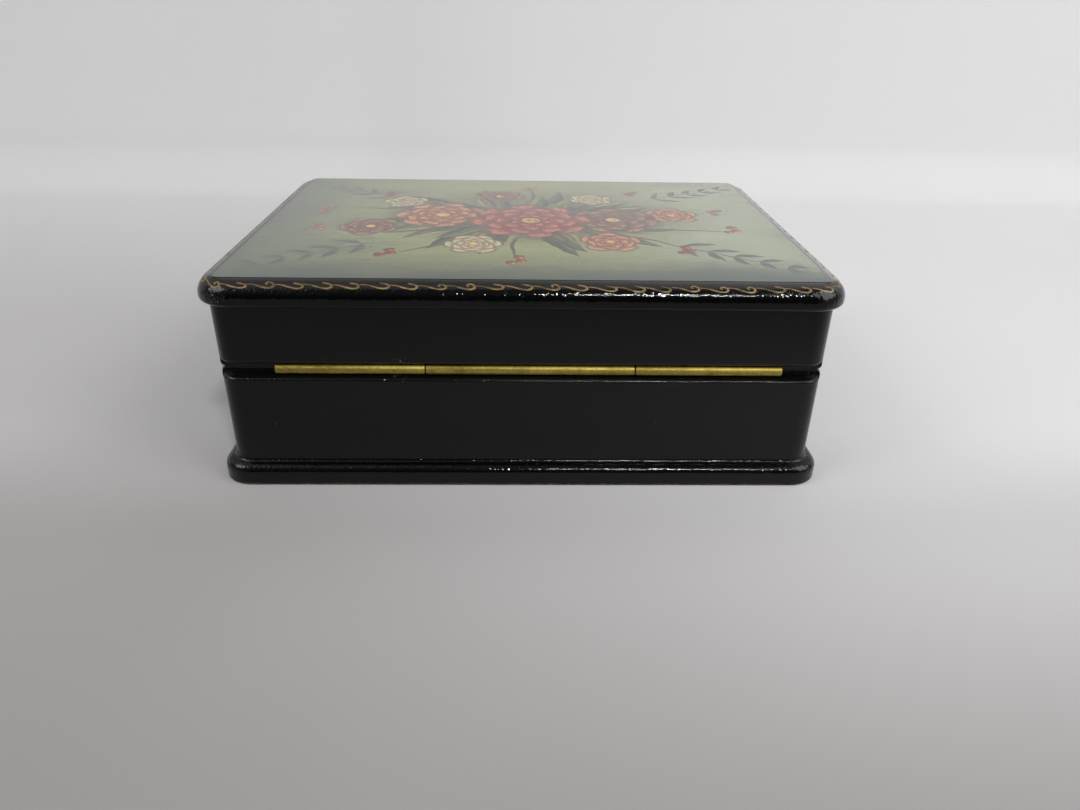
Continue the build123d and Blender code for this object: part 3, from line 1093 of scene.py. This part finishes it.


# pale paper sweep: floor, a tight bend and the upright behind, its colour carrying painted light and shade;
# places in metres
sweepSet = {
    "width": 6.0, "front": 4.0, "bendAt": -0.26, "bendRadius": 0.03, "bendSteps": 12, "height": 0.9,
    "pale": (0.74, 0.74, 0.745), "grey": (0.268, 0.252, 0.251),
    "across": (0.13, -0.13),    # from the left of the view to its right
    # painted light and shade: paler to the right of the view, darker towards the camera and just in front of
    # the box, paler at far left, paler upright, darker top
    "bands": [    # where each band of the floor starts and is full, and its change across and level
        ((0.19, 0.08), (0.43, 0.06)),
        ((0.085, 0.025), (0.04, 0.28)),
        ((0.0, -0.30), (-0.30, 0.32)),
    ],
    "leftRows": (0.19, 0.05), "left": (0.07, 0.12, 0.0, 0.06),
    "uprightRows": (0.002, 0.04), "upright": 0.25,
    "topRows": (0.12, 0.25), "topWidth": (0.9, 0.4), "top": -0.62,
    "fibreScale": 9.0, "fibre": 0.06, "rough": 0.75, "specular": 0.2,
}


def makeSweepPaper():
    finish, tree, shader = newFinish("sweepPaper")
    place = tree.nodes.new("ShaderNodeTexCoord").outputs["Object"]
    x, y, z = axes(place)
    # light: painted light and shade in the paper's colour, from grey to pale
    across = span(x, *sweepSet["across"])
    light = times(span(y, *sweepSet["leftRows"]), span(x, *sweepSet["left"]))
    for rows, levels in sweepSet["bands"]:
        light = timesPlus(span(y, *rows), timesPlus(across, *levels), light)
    light = timesPlus(span(z, *sweepSet["uprightRows"]), sweepSet["upright"], light)
    top = times(span(z, *sweepSet["topRows"]), span(calc("ABSOLUTE", x), *sweepSet["topWidth"]))
    light = timesPlus(top, sweepSet["top"], light)
    fibre = calc("SUBTRACT", cloud(place, sweepSet["fibreScale"], 3.0), 0.5)
    light = timesPlus(fibre, sweepSet["fibre"], light)
    feed(shader["Base Color"], tint(light, sweepSet["grey"], sweepSet["pale"]))
    shader["Roughness"].default_value = sweepSet["rough"]
    shader["Specular IOR Level"].default_value = sweepSet["specular"]
    return finish


def makeSweep():
    front, back = sweepSet["front"], sweepSet["bendAt"]
    bend = (0, back, sweepSet["bendRadius"])
    size = (sweepSet["width"], front - back, 1)
    place = (0, (front + back) / 2, 0)
    sweep = addShape("paperSweep", bpy.ops.mesh.primitive_plane_add, size, size=1, location=place)
    pickEdges(sweep, lambda a, b: near(a.y, back) and near(b.y, back))
    bpy.ops.mesh.spin(steps=sweepSet["bendSteps"], angle=math.pi / 2, center=bend, axis=(1, 0, 0))
    bpy.ops.mesh.extrude_region_move(TRANSFORM_OT_translate={"value": (0, 0, sweepSet["height"])})
    turnOutwards()
    bpy.ops.object.shade_smooth()
    sweep.data.materials.append(makeSweepPaper())


makeSweep()

# lamps: a compact one overhead to the right of the view, and two soft boxes far out at the sides
lampSet = {
    "overhead": {"place": (-0.26, 0.85, 1.00), "size": (0.16, 0.05), "power": 7.4},
    "rightBox": {"place": (-1.15, 0.45, 1.00), "size": (1.1, 1.1), "power": 13.0},
    "leftBox": {"place": (1.20, 0.40, 1.10), "size": (0.8, 0.8), "power": 7.0},
}
lampAim = Vector((0, 0, 0.03))
for name, lamp in lampSet.items():
    bpy.ops.object.light_add(type="AREA", location=lamp["place"])
    light = bpy.context.object
    light.name = name
    light.data.shape = "RECTANGLE"
    light.data.size, light.data.size_y = lamp["size"]
    light.data.energy = lamp["power"]
    light.rotation_euler = (lampAim - light.location).to_track_quat("-Z", "Y").to_euler()

# dim room: paler along the horizon and overhead behind the box, dark behind the camera
roomSet = {
    "high": 0.15, "horizon": 0.38, "horizonRows": (0.05, 0.35),
    "camera": 0.03, "cameraSide": (0.65, 0.90), "cameraRows": (0.03, 0.17),
    "behind": 0.60, "behindSide": (0.26, 0.04), "behindRows": (0.45, 0.75), "lean": -0.95,
}


def makeRoom():
    room = bpy.data.worlds.new("room")
    room.use_nodes = True
    tree = room.node_tree
    x, y, up = axes(tree.nodes.new("ShaderNodeTexCoord").outputs["Generated"])
    level = span(up, *roomSet["horizonRows"], roomSet["horizon"], roomSet["high"])
    camera = times(span(y, *roomSet["cameraSide"]), span(up, *roomSet["cameraRows"]))
    level = tint(camera, level, [roomSet["camera"]] * 3)
    behind = span(timesPlus(x, roomSet["lean"], y), *roomSet["behindSide"])
    behind = times(behind, span(up, *roomSet["behindRows"]))
    level = tint(behind, level, [roomSet["behind"]] * 3)
    feed(tree.nodes["Background"].inputs["Color"], level)
    return room


bpy.context.scene.world = makeRoom()

# camera at the photograph's place
cameraSet = {
    "lens": 26.27, "sensor": 36, "clipStart": 0.01,
    "place": (0.00127, 0.23859, 0.11964), "turn": (61.986, -0.939, 178.778),
}
turn = [math.radians(angle) for angle in cameraSet["turn"]]
bpy.ops.object.camera_add(location=cameraSet["place"], rotation=turn)
camera = bpy.context.object
camera.data.lens = cameraSet["lens"]
camera.data.sensor_width = cameraSet["sensor"]
camera.data.clip_start = cameraSet["clipStart"]
bpy.context.scene.camera = camera
bpy.context.scene.view_settings.view_transform = "Standard"
print("stage set")
